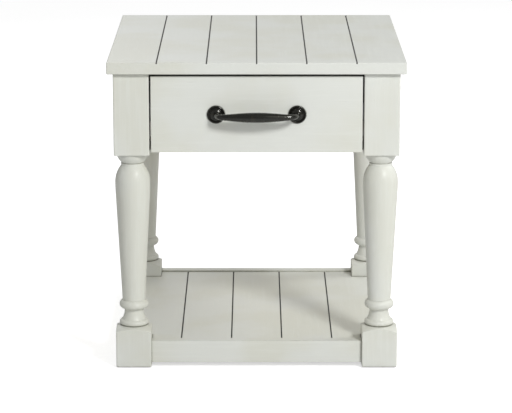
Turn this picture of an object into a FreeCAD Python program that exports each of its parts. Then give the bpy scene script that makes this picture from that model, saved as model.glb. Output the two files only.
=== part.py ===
import FreeCAD, Part
import os
import re
import Sketcher

# A painted side table with one drawer over an open lower shelf.
#
# Frame: millimetres, +Z up, the drawer opens towards -Y, +X is right seen from the front. The origin
# lies on the floor, in the middle of the space that the whole table takes up, its pull included. The
# pull reaches further forward than the top does, so everything else stands a little behind the middle.
#
# Each length below is a cell of the sheet "sizes". The sheet "layout" works out the lines that several
# pieces share, such as the inner faces of the legs. Pieces are drawn about the middle of the table top
# in X and Y, and their placements add front_offset.

doc = FreeCAD.newDocument("side_table")

SIZES = {
    # overall
    "table_height": 610,
    "top_width": 574,
    "top_depth": 610,
    # top
    "top_thickness": 23,
    "top_overhang": 11.5,
    "top_edge_round": 2,
    "top_plank_count": 6,
    "groove_width": 3,
    "groove_depth": 1.6,
    # legs
    "leg_square": 69,
    "leg_edge_round": 1.2,
    "block_below_front": 7,
    "foot_block_top": 82,
    "foot_shoulder_drop": 12,
    "cup_radius": 31,
    "cup_taper": 0.2,
    "cup_lip": 2,
    "cup_depth": 16.6,
    "cup_foot_radius": 21,
    "upper_neck_radius": 22.2,
    "upper_neck_length": 5.5,
    "quirk": 1,
    "vase_radius": 34,
    "vase_shoulder": 33,
    "vase_belly": 26,
    "vase_fall": 0.9,
    "vase_foot_radius": 22.4,
    "bead_radius": 28.5,
    "bead_height": 18.5,
    "lower_neck_radius": 18.6,
    "scotia_height": 20.5,
    "scotia_flare": 5.2,
    "torus_radius": 28.6,
    "torus_height": 11,
    "torus_foot_radius": 26,
    "glide_radius": 11,
    "glide_thickness": 2,
    # aprons, rails and stretchers
    "board_inset": 8,
    "apron_thickness": 18,
    "rail_thickness": 18,
    "rail_depth": 46,
    "stretcher_thickness": 20,
    "stretcher_height": 44,
    "stretcher_lift": 10,
    "tenon_length": 20,
    "tenon_shoulder": 4.5,
    "mortise_clearance": 0.2,
    # shelf
    "shelf_thickness": 15,
    "shelf_recess": 3.5,
    "shelf_plank_count": 5,
    "shelf_clearance": 0.5,
    "shelf_cleat": 15,
    # inside the case
    "cleat_square": 18,
    "corner_block_reach": 80,
    "corner_block_gap": 1,
    "spacer_height": 44,
    # drawer
    "front_height": 149,
    "front_gap_above": 5,
    "front_gap_side": 3,
    "front_thickness": 20,
    "front_edge_round": 1.2,
    "rail_setback": 2,
    "rail_above_front_edge": 1,
    "bumper_radius": 5,
    "box_wall": 12,
    "box_clearance_below": 6,
    "box_clearance_above": 11,
    "box_clearance_behind": 89,
    "bottom_thickness": 5,
    "bottom_lift": 8,
    "bottom_groove": 6,
    "bottom_clearance": 0.15,
    # drawer slides, three nested channels on each side
    "slide_space": 12.7,
    "slide_height": 35,
    "slide_metal": 1.2,
    "slide_gap": 0.4,
    "slide_depth": 11,
    "slide_front_gap": 4,
    "slide_end_gap": 2,
    # pull
    "pull_spread": 156,
    "rosette_radius": 17.5,
    "rosette_thickness": 7,
    "rosette_rim": 1.6,
    "rosette_ring_height": 3.4,
    "rosette_ring_width": 4.2,
    "rosette_collar": 1.4,
    "pull_projection": 34,
    "pull_end_radius": 5.6,
    "pull_middle_radius": 9.3,
    "pull_bend": 16,
    # fasteners
    "wood_screw_radius": 2,
    "wood_screw_head": 4,
    "wood_screw_head_depth": 2.4,
    "wood_screw_bite": 12,
    "shelf_screw_bite": 9,
    "slide_screw_radius": 1.7,
    "slide_screw_head": 3.4,
    "slide_screw_head_depth": 1.7,
    "slide_screw_bite": 9.8,
    "pull_screw_radius": 2,
    "pull_screw_head": 4.5,
    "pull_screw_head_depth": 2.6,
    "pull_screw_bite": 10,
    "bolt_radius": 3,
    "bolt_head": 7,
    "bolt_head_depth": 4,
    "bolt_bite": 30,
}

# Lines that several pieces share, each worked out from the cells above and from the lines before it.
LAYOUT = {
    "frame_top": "table_height - top_thickness",
    "front_top": "frame_top - front_gap_above",
    "front_bottom": "front_top - front_height",
    "front_middle": "front_top - front_height / 2",
    "block_bottom": "front_bottom - block_below_front",
    "leg_outer_x": "top_width / 2 - top_overhang",
    "leg_outer_y": "top_depth / 2 - top_overhang",
    "leg_inner_x": "leg_outer_x - leg_square",
    "leg_inner_y": "leg_outer_y - leg_square",
    "apron_outer_x": "leg_outer_x - board_inset",
    "apron_inner_x": "apron_outer_x - apron_thickness",
    "apron_outer_y": "leg_outer_y - board_inset",
    "apron_inner_y": "apron_outer_y - apron_thickness",
    "stretcher_inner_x": "leg_outer_x - board_inset - stretcher_thickness",
    "stretcher_inner_y": "leg_outer_y - board_inset - stretcher_thickness",
    "stretcher_top": "stretcher_lift + stretcher_height",
    "shelf_top": "stretcher_top - shelf_recess",
    "shelf_bottom": "shelf_top - shelf_thickness",
    "front_half": "leg_inner_x - front_gap_side",
    "front_back": "-leg_outer_y + front_thickness",
    "rail_front": "front_back + rail_setback",
    "box_half": "leg_inner_x - slide_space",
    "box_inner": "box_half - box_wall",
    "lower_rail_bottom": "front_bottom + rail_above_front_edge",
    "lower_rail_top": "lower_rail_bottom + rail_thickness",
    "upper_rail_bottom": "frame_top - rail_thickness",
    "box_bottom": "lower_rail_top + box_clearance_below",
    "box_top": "upper_rail_bottom - box_clearance_above",
    "box_back": "apron_inner_y - box_clearance_behind",
    "cleat_bottom": "frame_top - cleat_square",
    "spacer_bottom": "front_middle - spacer_height / 2",
    "spacer_top": "front_middle + spacer_height / 2",
    "slide_low": "front_back + slide_front_gap",
    "slide_length": "box_back - slide_end_gap - slide_low",
    "pull_seat": "-leg_outer_y - rosette_thickness",
    "pull_half": "pull_spread / 2",
    "front_offset": "(pull_projection + pull_middle_radius - top_overhang) / 2",
}

sizes = doc.addObject("Spreadsheet::Sheet", "sizes")
layout = doc.addObject("Spreadsheet::Sheet", "layout")
SHEET_OF = {name: "sizes" for name in SIZES} | {name: "layout" for name in LAYOUT}


def full(expression):
    """An expression over the two sheets' aliases, with each alias's sheet written in front of it."""
    return re.sub(
        r"[a-z_]+",
        lambda word: f"{SHEET_OF[word[0]]}.{word[0]}" if word[0] in SHEET_OF else word[0],
        str(expression),
    )


def fill(sheet, cells):
    for row, (name, content) in enumerate(cells.items(), 1):
        sheet.set(f"A{row}", name)
        sheet.set(f"B{row}", content)
        sheet.setAlias(f"B{row}", name)


fill(sizes, {name: str(number) for name, number in SIZES.items()})
fill(layout, {name: f"={full(formula)}" for name, formula in LAYOUT.items()})
doc.recompute()


def value(expression):
    """What an expression over the sheets comes to now."""
    return float(sizes.evalExpression(full(expression)))


def bind(thing, path, expression):
    thing.setExpression(path, full(expression))


def place(thing, x="0", y="0", z="0"):
    """Stand a piece at a point given about the middle of the table top."""
    bind(thing, "Placement.Base.x", x)
    bind(thing, "Placement.Base.y", f"({y}) + front_offset")
    bind(thing, "Placement.Base.z", z)


# ---------------------------------------------------------------------------------------------------
# Ways of making a piece

NODES = {}


def keep(name, thing):
    """Make an object of the document one of the table's pieces, under the piece's name."""
    thing.Label = name
    NODES[name] = thing
    return thing


def grown(span, extra):
    """A (low, high) span made longer by the same amount at both ends."""
    low, high = span
    return (f"({low}) - ({extra})", f"({high}) + ({extra})")


def box(name, x, y, z):
    """A box from three (low, high) spans."""
    solid = doc.addObject("Part::Box", name)
    for side, (low, high) in zip(("Length", "Width", "Height"), (x, y, z)):
        bind(solid, side, f"({high}) - ({low})")
    place(solid, x[0], y[0], z[0])
    return solid


def group(name, solids):
    together = doc.addObject("Part::Compound", name)
    together.Links = solids
    return together


def fuse(name, solids):
    joined = doc.addObject("Part::MultiFuse", name)
    joined.Shapes = solids
    return joined


def cut(name, base, *tools):
    """A piece with other solids taken out of it, one after another."""
    for number, tool in enumerate(tools, 1):
        result = doc.addObject("Part::Cut", f"{name}_cut_{number}")
        result.Base = base
        result.Tool = tool
        base = result
    return base


MORTISES = []


def tenoned(name, along, x, y, z):
    """A board between two legs, with a tenon at each end, and the long box that cuts its mortises.

    along is the axis, 0 for X or 1 for Y, that the board runs along. The tenons are the ends of one
    core that is thinner than the board by tenon_shoulder on each side."""
    spans = (x, y, z)
    reach = ["-tenon_shoulder"] * 3
    reach[along] = "tenon_length"
    core = [grown(span, extra) for span, extra in zip(spans, reach)]
    mortise = [grown(span, "mortise_clearance") for span in core]
    MORTISES.append(box(f"{name}_mortise", *mortise))
    return fuse(f"{name}_board", [box(f"{name}_blank", *spans), box(f"{name}_core", *core)])


def origin_plane(body, role):
    return next(plane for plane in body.Origin.OriginFeatures if plane.Role == role)


def pin_point(sketch, geometry, end, point):
    """Fix one end of a line or arc at two expressions, measured from the sketch's origin."""
    for kind, expression in zip(("DistanceX", "DistanceY"), point):
        rule = Sketcher.Constraint(kind, -1, 1, geometry, end, value(expression))
        number = sketch.addConstraint(rule)
        bind(sketch, f"Constraints[{number}]", expression)


def outline(body, name, plane, points, closed=True):
    """A sketch of lines and arcs on one of a body's own planes, fully bound to the sheets.

    Each point is (x, y) for a line to it, or (x, y, x between, y between) for an arc to it."""
    sketch = body.newObject("Sketcher::SketchObject", name)
    sketch.AttachmentSupport = (origin_plane(body, plane), [""])
    sketch.MapMode = "FlatFace"
    path = points[1:] + points[:1] if closed else points[1:]
    start = points[0][:2]
    before = None
    first = None
    for point in path:
        a = FreeCAD.Vector(value(start[0]), value(start[1]), 0)
        b = FreeCAD.Vector(value(point[0]), value(point[1]), 0)
        head, tail = 1, 2
        if len(point) == 4:
            middle = FreeCAD.Vector(value(point[2]), value(point[3]), 0)
            line = sketch.addGeometry(Part.Arc(a, middle, b), False)
            if sketch.getPoint(line, 1).distanceToPoint(a) > sketch.getPoint(line, 2).distanceToPoint(a):
                head, tail = 2, 1
            mark = sketch.addGeometry(Part.Point(middle), True)
            pin_point(sketch, mark, 1, point[2:])
            sketch.addConstraint(Sketcher.Constraint("PointOnObject", mark, 1, line))
        else:
            line = sketch.addGeometry(Part.LineSegment(a, b), False)
        if before:
            sketch.addConstraint(Sketcher.Constraint("Coincident", *before, line, head))
        else:
            first = (line, head)
        pin_point(sketch, line, head, start)
        before = (line, tail)
        start = point[:2]
    if closed:
        sketch.addConstraint(Sketcher.Constraint("Coincident", *before, *first))
    else:
        pin_point(sketch, *before, start)
    return sketch


def circle(body, name, plane, centre, radius):
    """A sketch of one circle on one of a body's own planes."""
    sketch = body.newObject("Sketcher::SketchObject", name)
    sketch.AttachmentSupport = (origin_plane(body, plane), [""])
    sketch.MapMode = "FlatFace"
    middle = FreeCAD.Vector(value(centre[0]), value(centre[1]), 0)
    ring = sketch.addGeometry(Part.Circle(middle, FreeCAD.Vector(0, 0, 1), value(radius)), False)
    pin_point(sketch, ring, 3, centre)
    number = sketch.addConstraint(Sketcher.Constraint("Radius", ring, value(radius)))
    bind(sketch, f"Constraints[{number}]", radius)
    return sketch


def rectangle(x, y):
    return [(x[0], y[0]), (x[1], y[0]), (x[1], y[1]), (x[0], y[1])]


def pad(body, sketch, length, towards_plus_y=False):
    """Give a sketch a thickness: upwards on the XY plane, or along Y on the XZ plane."""
    solid = body.newObject("PartDesign::Pad", f"{sketch.Name}_pad")
    solid.Profile = sketch
    solid.Reversed = towards_plus_y
    bind(solid, "Length", length)
    doc.recompute()
    return solid


def spin(body, sketch, kind, axis):
    """Turn a sketch about one of its own axes, as a Revolution or as a Groove."""
    turned = body.newObject(f"PartDesign::{kind}", f"{sketch.Name}_{kind.lower()}")
    turned.Profile = sketch
    turned.ReferenceAxis = (sketch, [axis])
    turned.Angle = 360
    doc.recompute()
    return turned


def eased(body, solid, radius, chosen):
    """Round the edges of a feature that the test picks."""
    names = [f"Edge{n}" for n, edge in enumerate(solid.Shape.Edges, 1) if chosen(edge)]
    rounded = body.newObject("PartDesign::Fillet", f"{solid.Name}_eased")
    rounded.Base = (solid, names)
    bind(rounded, "Radius", radius)
    doc.recompute()
    return rounded


def runs_up_or_at_foot(edge):
    """True for an edge of a standing blank that runs along Z or lies in its underside."""
    return edge.BoundBox.ZMin < 0.5


def planked(body, solid, width, count, surface, depth_along_y):
    """Rout the grooves that divide a panel's upper face into planks of equal width."""
    first = f"-({width}) / 2 + ({width}) / {count}"
    sketch = outline(
        body,
        f"{body.Name}_groove",
        "XZ_Plane",
        [
            (f"{first} - groove_width / 2", surface),
            (first, f"{surface} - groove_depth"),
            (f"{first} + groove_width / 2", surface),
        ],
    )
    routed = body.newObject("PartDesign::Pocket", f"{body.Name}_routed")
    routed.Profile = sketch
    routed.SideType = "Symmetric"
    bind(routed, "Length", f"({depth_along_y}) * 2")
    doc.recompute()
    if routed.Shape.Volume >= solid.Shape.Volume:
        raise RuntimeError(f"the grooves of {body.Name} cut nothing")
    row = body.newObject("PartDesign::LinearPattern", f"{body.Name}_grooves")
    row.Originals = [routed]
    row.Direction = (sketch, ["H_Axis"])
    bind(row, "Length", f"({width}) * ({count} - 2) / {count}")
    bind(row, "Occurrences", f"{count} - 1")
    body.Tip = row
    doc.recompute()
    return row


def fastener(name, point, heading, sort, length):
    """A screw or bolt: a straight shank under a countersunk head, its head's flat top at the point.

    heading is the way that it is driven, and sort picks the shank's and the head's sizes."""
    axis = FreeCAD.Vector(*heading)
    turn = FreeCAD.Rotation(FreeCAD.Vector(0, 0, 1), axis)
    shank = doc.addObject("Part::Cylinder", f"{name}_shank")
    bind(shank, "Radius", f"{sort}_radius")
    bind(shank, "Height", length)
    head = doc.addObject("Part::Cone", f"{name}_head")
    bind(head, "Radius1", f"{sort}_head")
    bind(head, "Radius2", f"{sort}_radius")
    bind(head, "Height", f"{sort}_head_depth")
    for half in (shank, head):
        half.Placement = FreeCAD.Placement(FreeCAD.Vector(), turn)
        place(half, *point)
    return fuse(name, [shank, head])


def side_span(side, low, high):
    """A span of X on one side of the table, from two distances out from the middle."""
    return (f"-({high})", f"-({low})") if side == "-1" else (low, high)


LEFT_RIGHT = (("left", "-1"), ("right", "1"))
ACROSS = ("-leg_inner_x", "leg_inner_x")
ALONG = ("-leg_inner_y", "leg_inner_y")

# ---------------------------------------------------------------------------------------------------
# Aprons, rails and stretchers: straight boards with tenons, all between the legs

frame_boards = {
    "apron_back": tenoned(
        "apron_back", 0, ACROSS, ("apron_inner_y", "apron_outer_y"), ("front_bottom", "frame_top")
    ),
    "front_rail_upper": tenoned(
        "front_rail_upper",
        0,
        ACROSS,
        ("rail_front", "rail_front + rail_depth"),
        ("upper_rail_bottom", "frame_top"),
    ),
    "front_rail_lower": tenoned(
        "front_rail_lower",
        0,
        ACROSS,
        ("rail_front", "rail_front + rail_depth"),
        ("lower_rail_bottom", "lower_rail_top"),
    ),
    "stretcher_front": tenoned(
        "stretcher_front",
        0,
        ACROSS,
        ("-stretcher_inner_y - stretcher_thickness", "-stretcher_inner_y"),
        ("stretcher_lift", "stretcher_top"),
    ),
    "stretcher_back": tenoned(
        "stretcher_back",
        0,
        ACROSS,
        ("stretcher_inner_y", "stretcher_inner_y + stretcher_thickness"),
        ("stretcher_lift", "stretcher_top"),
    ),
}
for ending, side in LEFT_RIGHT:
    frame_boards[f"apron_{ending}"] = tenoned(
        f"apron_{ending}",
        1,
        side_span(side, "apron_inner_x", "apron_outer_x"),
        ALONG,
        ("front_bottom", "frame_top"),
    )
    frame_boards[f"stretcher_{ending}"] = tenoned(
        f"stretcher_{ending}",
        1,
        side_span(side, "stretcher_inner_x", "stretcher_inner_x + stretcher_thickness"),
        ALONG,
        ("stretcher_lift", "stretcher_top"),
    )

# ---------------------------------------------------------------------------------------------------
# Cleats, spacers and corner blocks inside the case

for ending, side in LEFT_RIGHT:
    frame_boards[f"top_cleat_{ending}"] = box(
        f"top_cleat_{ending}_board",
        side_span(side, "apron_inner_x - cleat_square", "apron_inner_x"),
        ALONG,
        ("cleat_bottom", "frame_top"),
    )
    frame_boards[f"slide_spacer_{ending}"] = box(
        f"slide_spacer_{ending}_board",
        side_span(side, "leg_inner_x", "apron_inner_x"),
        ALONG,
        ("spacer_bottom", "spacer_top"),
    )
frame_boards["top_cleat_back"] = box(
    "top_cleat_back_board",
    ACROSS,
    ("apron_inner_y - cleat_square", "apron_inner_y"),
    ("cleat_bottom", "frame_top"),
)


def corner_block(ending, side):
    """A diagonal block in a back corner, against both aprons and the leg's inner corner."""
    body = doc.addObject("PartDesign::Body", f"corner_block_{ending}_body")
    points = [
        (f"{side} * apron_inner_x", "leg_inner_y - corner_block_reach"),
        (f"{side} * apron_inner_x", "leg_inner_y"),
        (f"{side} * leg_inner_x", "leg_inner_y"),
        (f"{side} * leg_inner_x", "apron_inner_y"),
        (f"{side} * (leg_inner_x - corner_block_reach)", "apron_inner_y"),
    ]
    flat = outline(body, f"corner_block_{ending}_flat", "XY_Plane", points)
    pad(body, flat, "cleat_bottom - spacer_top - 2 * corner_block_gap")
    place(body, z="spacer_top + corner_block_gap")
    return body


for ending, side in LEFT_RIGHT:
    frame_boards[f"corner_block_{ending}"] = corner_block(ending, side)

# ---------------------------------------------------------------------------------------------------
# Legs: a square blank, turned between an upper block and a foot block


def share(start, end, part):
    """A place part of the way from one expression to another."""
    return f"({start}) + (({end}) - ({start})) * {part}"


def turning():
    """The outline of what the lathe takes away: radius along X, height above the floor along Z."""
    clear_of_blank = "leg_square * 0.75"
    cup_lip = "block_bottom - cup_lip"
    neck_top = f"{cup_lip} - cup_depth"
    neck_bottom = f"{neck_top} - upper_neck_length"
    widest = f"{neck_bottom} - vase_shoulder"
    belly_foot = f"{widest} - vase_belly"
    scotia_bottom = "foot_block_top + torus_height"
    bead_bottom = f"{scotia_bottom} + scotia_height"
    bead_top = f"{bead_bottom} + bead_height"
    cup = [
        (clear_of_blank, "block_bottom"),
        ("cup_radius", "block_bottom"),
        ("cup_radius - cup_taper", cup_lip),
        (
            "cup_foot_radius",
            neck_top,
            share("cup_foot_radius", "cup_radius - cup_taper", 0.63),
            share(neck_top, cup_lip, 0.5),
        ),
        ("upper_neck_radius", f"{neck_top} - quirk"),
    ]
    vase = [
        ("upper_neck_radius", neck_bottom),
        (
            "vase_radius",
            widest,
            share("upper_neck_radius", "vase_radius", 0.64),
            share(widest, neck_bottom, 0.624),
        ),
        (
            "vase_radius - vase_fall",
            belly_foot,
            "vase_radius - vase_fall / 4",
            share(belly_foot, widest, 0.5),
        ),
        ("vase_foot_radius", bead_top),
    ]
    lower_turnings = [
        (
            "lower_neck_radius + quirk",
            f"{bead_bottom} + quirk",
            "bead_radius",
            share(bead_bottom, bead_top, 0.52),
        ),
        ("lower_neck_radius", f"{bead_bottom} - quirk"),
        (
            "lower_neck_radius + scotia_flare",
            scotia_bottom,
            share("lower_neck_radius", "lower_neck_radius + scotia_flare", 0.2),
            share(scotia_bottom, bead_bottom, 0.5),
        ),
        (
            "torus_foot_radius",
            "foot_block_top",
            "torus_radius",
            share("foot_block_top", scotia_bottom, 0.42),
        ),
    ]
    # where the lathe runs out through the corners of the blank
    shoulder = [
        (
            clear_of_blank,
            "foot_block_top - foot_shoulder_drop",
            share("torus_foot_radius", clear_of_blank, 0.46),
            "foot_block_top - foot_shoulder_drop * 0.36",
        ),
    ]
    return cup + vase + lower_turnings + shoulder


def above_glide(point):
    """A point of the turning with its heights measured from the underside of the leg."""
    return tuple(f"{part} - glide_thickness" if at % 2 else part for at, part in enumerate(point))


def leg(name, side_x, side_y):
    body = doc.addObject("PartDesign::Body", f"{name}_body")
    half = ("-leg_square / 2", "leg_square / 2")
    section = outline(body, f"{name}_section", "XY_Plane", rectangle(half, half))
    blank = pad(body, section, "frame_top - glide_thickness")
    blank = eased(body, blank, "leg_edge_round", runs_up_or_at_foot)
    profile = outline(body, f"{name}_turning", "XZ_Plane", [above_glide(point) for point in turning()])
    turned = spin(body, profile, "Groove", "V_Axis")
    if turned.Shape.Volume >= blank.Shape.Volume:
        raise RuntimeError(f"the turning of {name} cut nothing")
    place(
        body,
        f"{side_x} * (leg_outer_x - leg_square / 2)",
        f"{side_y} * (leg_outer_y - leg_square / 2)",
        "glide_thickness",
    )
    return body


for row, side_y in (("front", "-1"), ("back", "1")):
    for ending, side in LEFT_RIGHT:
        frame_boards[f"leg_{row}_{ending}"] = leg(f"leg_{row}_{ending}", side, side_y)

# ---------------------------------------------------------------------------------------------------
# Top and shelf: panels routed to look like planks

top_body = doc.addObject("PartDesign::Body", "tabletop_body")
top_half_x = ("-top_width / 2", "top_width / 2")
top_half_y = ("-top_depth / 2", "top_depth / 2")
top_slab = pad(
    top_body,
    outline(top_body, "tabletop_outline", "XY_Plane", rectangle(top_half_x, top_half_y)),
    "top_thickness",
)
top_slab = eased(top_body, top_slab, "top_edge_round", lambda edge: True)
planked(top_body, top_slab, "top_width", "top_plank_count", "top_thickness", "top_depth")
place(top_body, z="frame_top")
frame_boards["tabletop"] = top_body

shelf_body = doc.addObject("PartDesign::Body", "shelf_body")
shelf_x = "stretcher_inner_x - shelf_clearance"
shelf_y = "stretcher_inner_y - shelf_clearance"
notch_x = "leg_inner_x - shelf_clearance"
notch_y = "leg_inner_y - shelf_clearance"
corner = [(shelf_x, f"-({notch_y})"), (shelf_x, notch_y), (notch_x, notch_y), (notch_x, shelf_y)]
shelf_points = [
    *corner,
    *[(f"-({x})", y) for x, y in reversed(corner)],
    (f"-({notch_x})", f"-({notch_y})"),
    (f"-({notch_x})", f"-({shelf_y})"),
    (notch_x, f"-({shelf_y})"),
    (notch_x, f"-({notch_y})"),
]
shelf_slab = pad(
    shelf_body, outline(shelf_body, "shelf_outline", "XY_Plane", shelf_points), "shelf_thickness"
)
planked(
    shelf_body,
    shelf_slab,
    "2 * stretcher_inner_x",
    "shelf_plank_count",
    "shelf_thickness",
    "2 * stretcher_inner_y",
)
place(shelf_body, z="shelf_bottom")
frame_boards["shelf_panel"] = shelf_body

cleat_z = ("shelf_bottom - shelf_cleat", "shelf_bottom")
for ending, side in LEFT_RIGHT:
    frame_boards[f"shelf_cleat_{ending}"] = box(
        f"shelf_cleat_{ending}_board",
        side_span(side, "stretcher_inner_x - shelf_cleat", "stretcher_inner_x"),
        ALONG,
        cleat_z,
    )
for ending, side in (("front", "-1"), ("back", "1")):
    frame_boards[f"shelf_cleat_{ending}"] = box(
        f"shelf_cleat_{ending}_board",
        ACROSS,
        side_span(side, "stretcher_inner_y - shelf_cleat", "stretcher_inner_y"),
        cleat_z,
    )

# ---------------------------------------------------------------------------------------------------
# Drawer box and front

drawer_boards = {}
front_body = doc.addObject("PartDesign::Body", "drawer_front_body")
front_face = outline(
    front_body,
    "drawer_front_face",
    "XZ_Plane",
    rectangle(("-front_half", "front_half"), ("0", "front_height")),
)
front_slab = pad(front_body, front_face, "front_thickness", towards_plus_y=True)
eased(front_body, front_slab, "front_edge_round", lambda edge: edge.BoundBox.YMin < 0.01)
place(front_body, y="-leg_outer_y", z="front_bottom")
drawer_boards["drawer_front"] = front_body

bottom_z = ("box_bottom + bottom_lift", "box_bottom + bottom_lift + bottom_thickness")
bottom_x = grown(("-box_inner", "box_inner"), "bottom_groove - bottom_clearance")
bottom_y = ("front_back + box_wall - bottom_groove + bottom_clearance", "box_back")
bottom = box("drawer_bottom_board", bottom_x, bottom_y, bottom_z)
groove = box(
    "drawer_bottom_groove",
    grown(bottom_x, "bottom_clearance"),
    grown(bottom_y, "bottom_clearance"),
    grown(bottom_z, "bottom_clearance"),
)
box_z = ("box_bottom", "box_top")
drawer_boards["drawer_bottom"] = bottom
inside = ("-box_inner", "box_inner")
box_front = box("drawer_box_front_blank", inside, ("front_back", "front_back + box_wall"), box_z)
drawer_boards["drawer_box_front"] = cut("drawer_box_front_board", box_front, groove)
drawer_boards["drawer_back"] = box(
    "drawer_back_board",
    inside,
    ("box_back - box_wall", "box_back"),
    ("box_bottom + bottom_lift + bottom_thickness", "box_top"),
)
for ending, side in LEFT_RIGHT:
    drawer_boards[f"drawer_side_{ending}"] = cut(
        f"drawer_side_{ending}_board",
        box(
            f"drawer_side_{ending}_blank",
            side_span(side, "box_inner", "box_half"),
            ("front_back", "box_back"),
            box_z,
        ),
        groove,
    )

# ---------------------------------------------------------------------------------------------------
# Drawer slides: a channel on the case, one on the drawer and one that runs between them


def channel(name, side, back, lip, half_height):
    """A slide member: a channel along Y, its web at one distance out from the middle of the table.

    back is the web's outer face, lip is where its two flanges end, both as distances in X."""
    body = doc.addObject("PartDesign::Body", f"{name}_body")
    towards = 1 if value(lip) > value(back) else -1
    web = f"({back}) + {towards} * slide_metal"
    points = [
        (back, f"-({half_height})"),
        (lip, f"-({half_height})"),
        (lip, f"-({half_height}) + slide_metal"),
        (web, f"-({half_height}) + slide_metal"),
        (web, f"({half_height}) - slide_metal"),
        (lip, f"({half_height}) - slide_metal"),
        (lip, half_height),
        (back, half_height),
    ]
    profile = outline(body, f"{name}_profile", "XZ_Plane", [(f"{side} * ({x})", z) for x, z in points])
    pad(body, profile, "slide_length", towards_plus_y=True)
    place(body, y="slide_low", z="front_middle")
    return body


slides = {}
nest = "slide_metal + slide_gap"
for ending, side in LEFT_RIGHT:
    slides[f"slide_cabinet_{ending}"] = channel(
        f"slide_cabinet_{ending}", side, "leg_inner_x", "leg_inner_x - slide_depth", "slide_height / 2"
    )
    slides[f"slide_middle_{ending}"] = channel(
        f"slide_middle_{ending}",
        side,
        f"leg_inner_x - ({nest})",
        "leg_inner_x - slide_depth",
        f"slide_height / 2 - ({nest})",
    )
    slides[f"slide_drawer_{ending}"] = channel(
        f"slide_drawer_{ending}",
        side,
        "box_half",
        f"leg_inner_x - 2 * ({nest})",
        f"slide_height / 2 - 2 * ({nest})",
    )

# ---------------------------------------------------------------------------------------------------
# Pull: two turned rosettes and a bar that swells towards its middle


def rosette(ending, side):
    """A stepped and domed disc, turned about the Y axis, its flat back on the drawer front."""
    body = doc.addObject("PartDesign::Body", f"pull_rosette_{ending}_body")
    roll = "rosette_ring_height - rosette_rim"
    collar = "pull_end_radius + rosette_collar"
    profile = outline(
        body,
        f"pull_rosette_{ending}_profile",
        "XY_Plane",
        [
            ("0", "0"),
            ("rosette_radius", "0"),
            ("rosette_radius", "-rosette_rim"),
            (
                f"rosette_radius - ({roll})",
                "-rosette_ring_height",
                f"rosette_radius - ({roll}) * 0.3",
                f"-rosette_rim - ({roll}) * 0.7",
            ),
            ("rosette_radius - rosette_ring_width", "-rosette_ring_height"),
            (
                collar,
                "-rosette_thickness",
                share("rosette_radius - rosette_ring_width", collar, 0.44),
                share("-rosette_ring_height", "-rosette_thickness", 0.76),
            ),
            ("0", "-rosette_thickness"),
        ],
    )
    spin(body, profile, "Revolution", "V_Axis")
    place(body, f"{side} * pull_half", "-leg_outer_y", "front_middle")
    return body


def pull_bar():
    """A round bar on two posts that bend into it, with a spindle thickened towards the middle."""
    body = doc.addObject("PartDesign::Body", "pull_bar_body")
    depth = "-(pull_projection - rosette_thickness)"
    inner = "pull_half - pull_bend"
    swing = "pull_bend * (1 - sqrt(0.5))"
    path = outline(
        body,
        "pull_bar_path",
        "XY_Plane",
        [
            ("-pull_half", "0"),
            ("-pull_half", f"{depth} + pull_bend"),
            (f"-({inner})", depth, f"-pull_half + {swing}", f"{depth} + {swing}"),
            (inner, depth),
            ("pull_half", f"{depth} + pull_bend", f"pull_half - {swing}", f"{depth} + {swing}"),
            ("pull_half", "0"),
        ],
        closed=False,
    )
    section = circle(body, "pull_bar_section", "XZ_Plane", ("-pull_half", "0"), "pull_end_radius")
    doc.recompute()
    tube = body.newObject("PartDesign::AdditivePipe", "pull_bar_tube")
    tube.Profile = section
    tube.Spine = path
    doc.recompute()
    tip_radius = "pull_end_radius * 0.9"
    swell = outline(
        body,
        "pull_bar_spindle",
        "XY_Plane",
        [
            (f"-({inner})", depth),
            (f"-({inner})", f"{depth} - {tip_radius}"),
            (inner, f"{depth} - {tip_radius}", "0", f"{depth} - pull_middle_radius"),
            (inner, depth),
        ],
    )
    doc.recompute()
    spindle = body.newObject("PartDesign::Revolution", "pull_bar_swell")
    spindle.Profile = swell
    spindle.ReferenceAxis = (swell, ["Edge4"])
    spindle.Angle = 360
    doc.recompute()
    place(body, y="pull_seat", z="front_middle")
    return body


# ---------------------------------------------------------------------------------------------------
# Fasteners, and the holes they take in what they pass through

UP = (0, 0, 1)
FORWARD = (0, -1, 0)
cleat_middle = "cleat_square / 2"
through_rail = "rail_thickness + wood_screw_bite"
through_cleat = "cleat_square + wood_screw_bite"
top_screws = []
for number, x in enumerate(("-leg_inner_x / 2", "0", "leg_inner_x / 2"), 1):
    under_rail = (x, "rail_front + rail_depth / 2", "upper_rail_bottom")
    under_cleat = (x, f"apron_inner_y - {cleat_middle}", "cleat_bottom")
    top_screws += [
        fastener(f"top_screw_front_{number}", under_rail, UP, "wood_screw", through_rail),
        fastener(f"top_screw_back_{number}", under_cleat, UP, "wood_screw", through_cleat),
    ]
for ending, side in LEFT_RIGHT:
    for number, y in enumerate(("-leg_inner_y * 0.6", "0", "leg_inner_y * 0.6"), 1):
        under_cleat = (f"{side} * (apron_inner_x - {cleat_middle})", y, "cleat_bottom")
        screw = fastener(f"top_screw_{ending}_{number}", under_cleat, UP, "wood_screw", through_cleat)
        top_screws.append(screw)
tabletop_screws = keep("tabletop_screws", group("tabletop_screws_group", top_screws))

shelf_screw_list = []
for side in ("-1", "1"):
    for end in ("-1", "1"):
        beside = (
            f"{side} * (stretcher_inner_x - shelf_cleat / 2)",
            f"{end} * leg_inner_y * 0.6",
            "shelf_bottom - shelf_cleat",
        )
        across = (
            f"{end} * leg_inner_x * 0.6",
            f"{side} * (stretcher_inner_y - shelf_cleat / 2)",
            "shelf_bottom - shelf_cleat",
        )
        for point in (beside, across):
            name = f"shelf_screw_{len(shelf_screw_list) + 1}"
            screw = fastener(name, point, UP, "wood_screw", "shelf_cleat + shelf_screw_bite")
            shelf_screw_list.append(screw)
shelf_screws = keep("shelf_screws", group("shelf_screws_group", shelf_screw_list))

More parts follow.
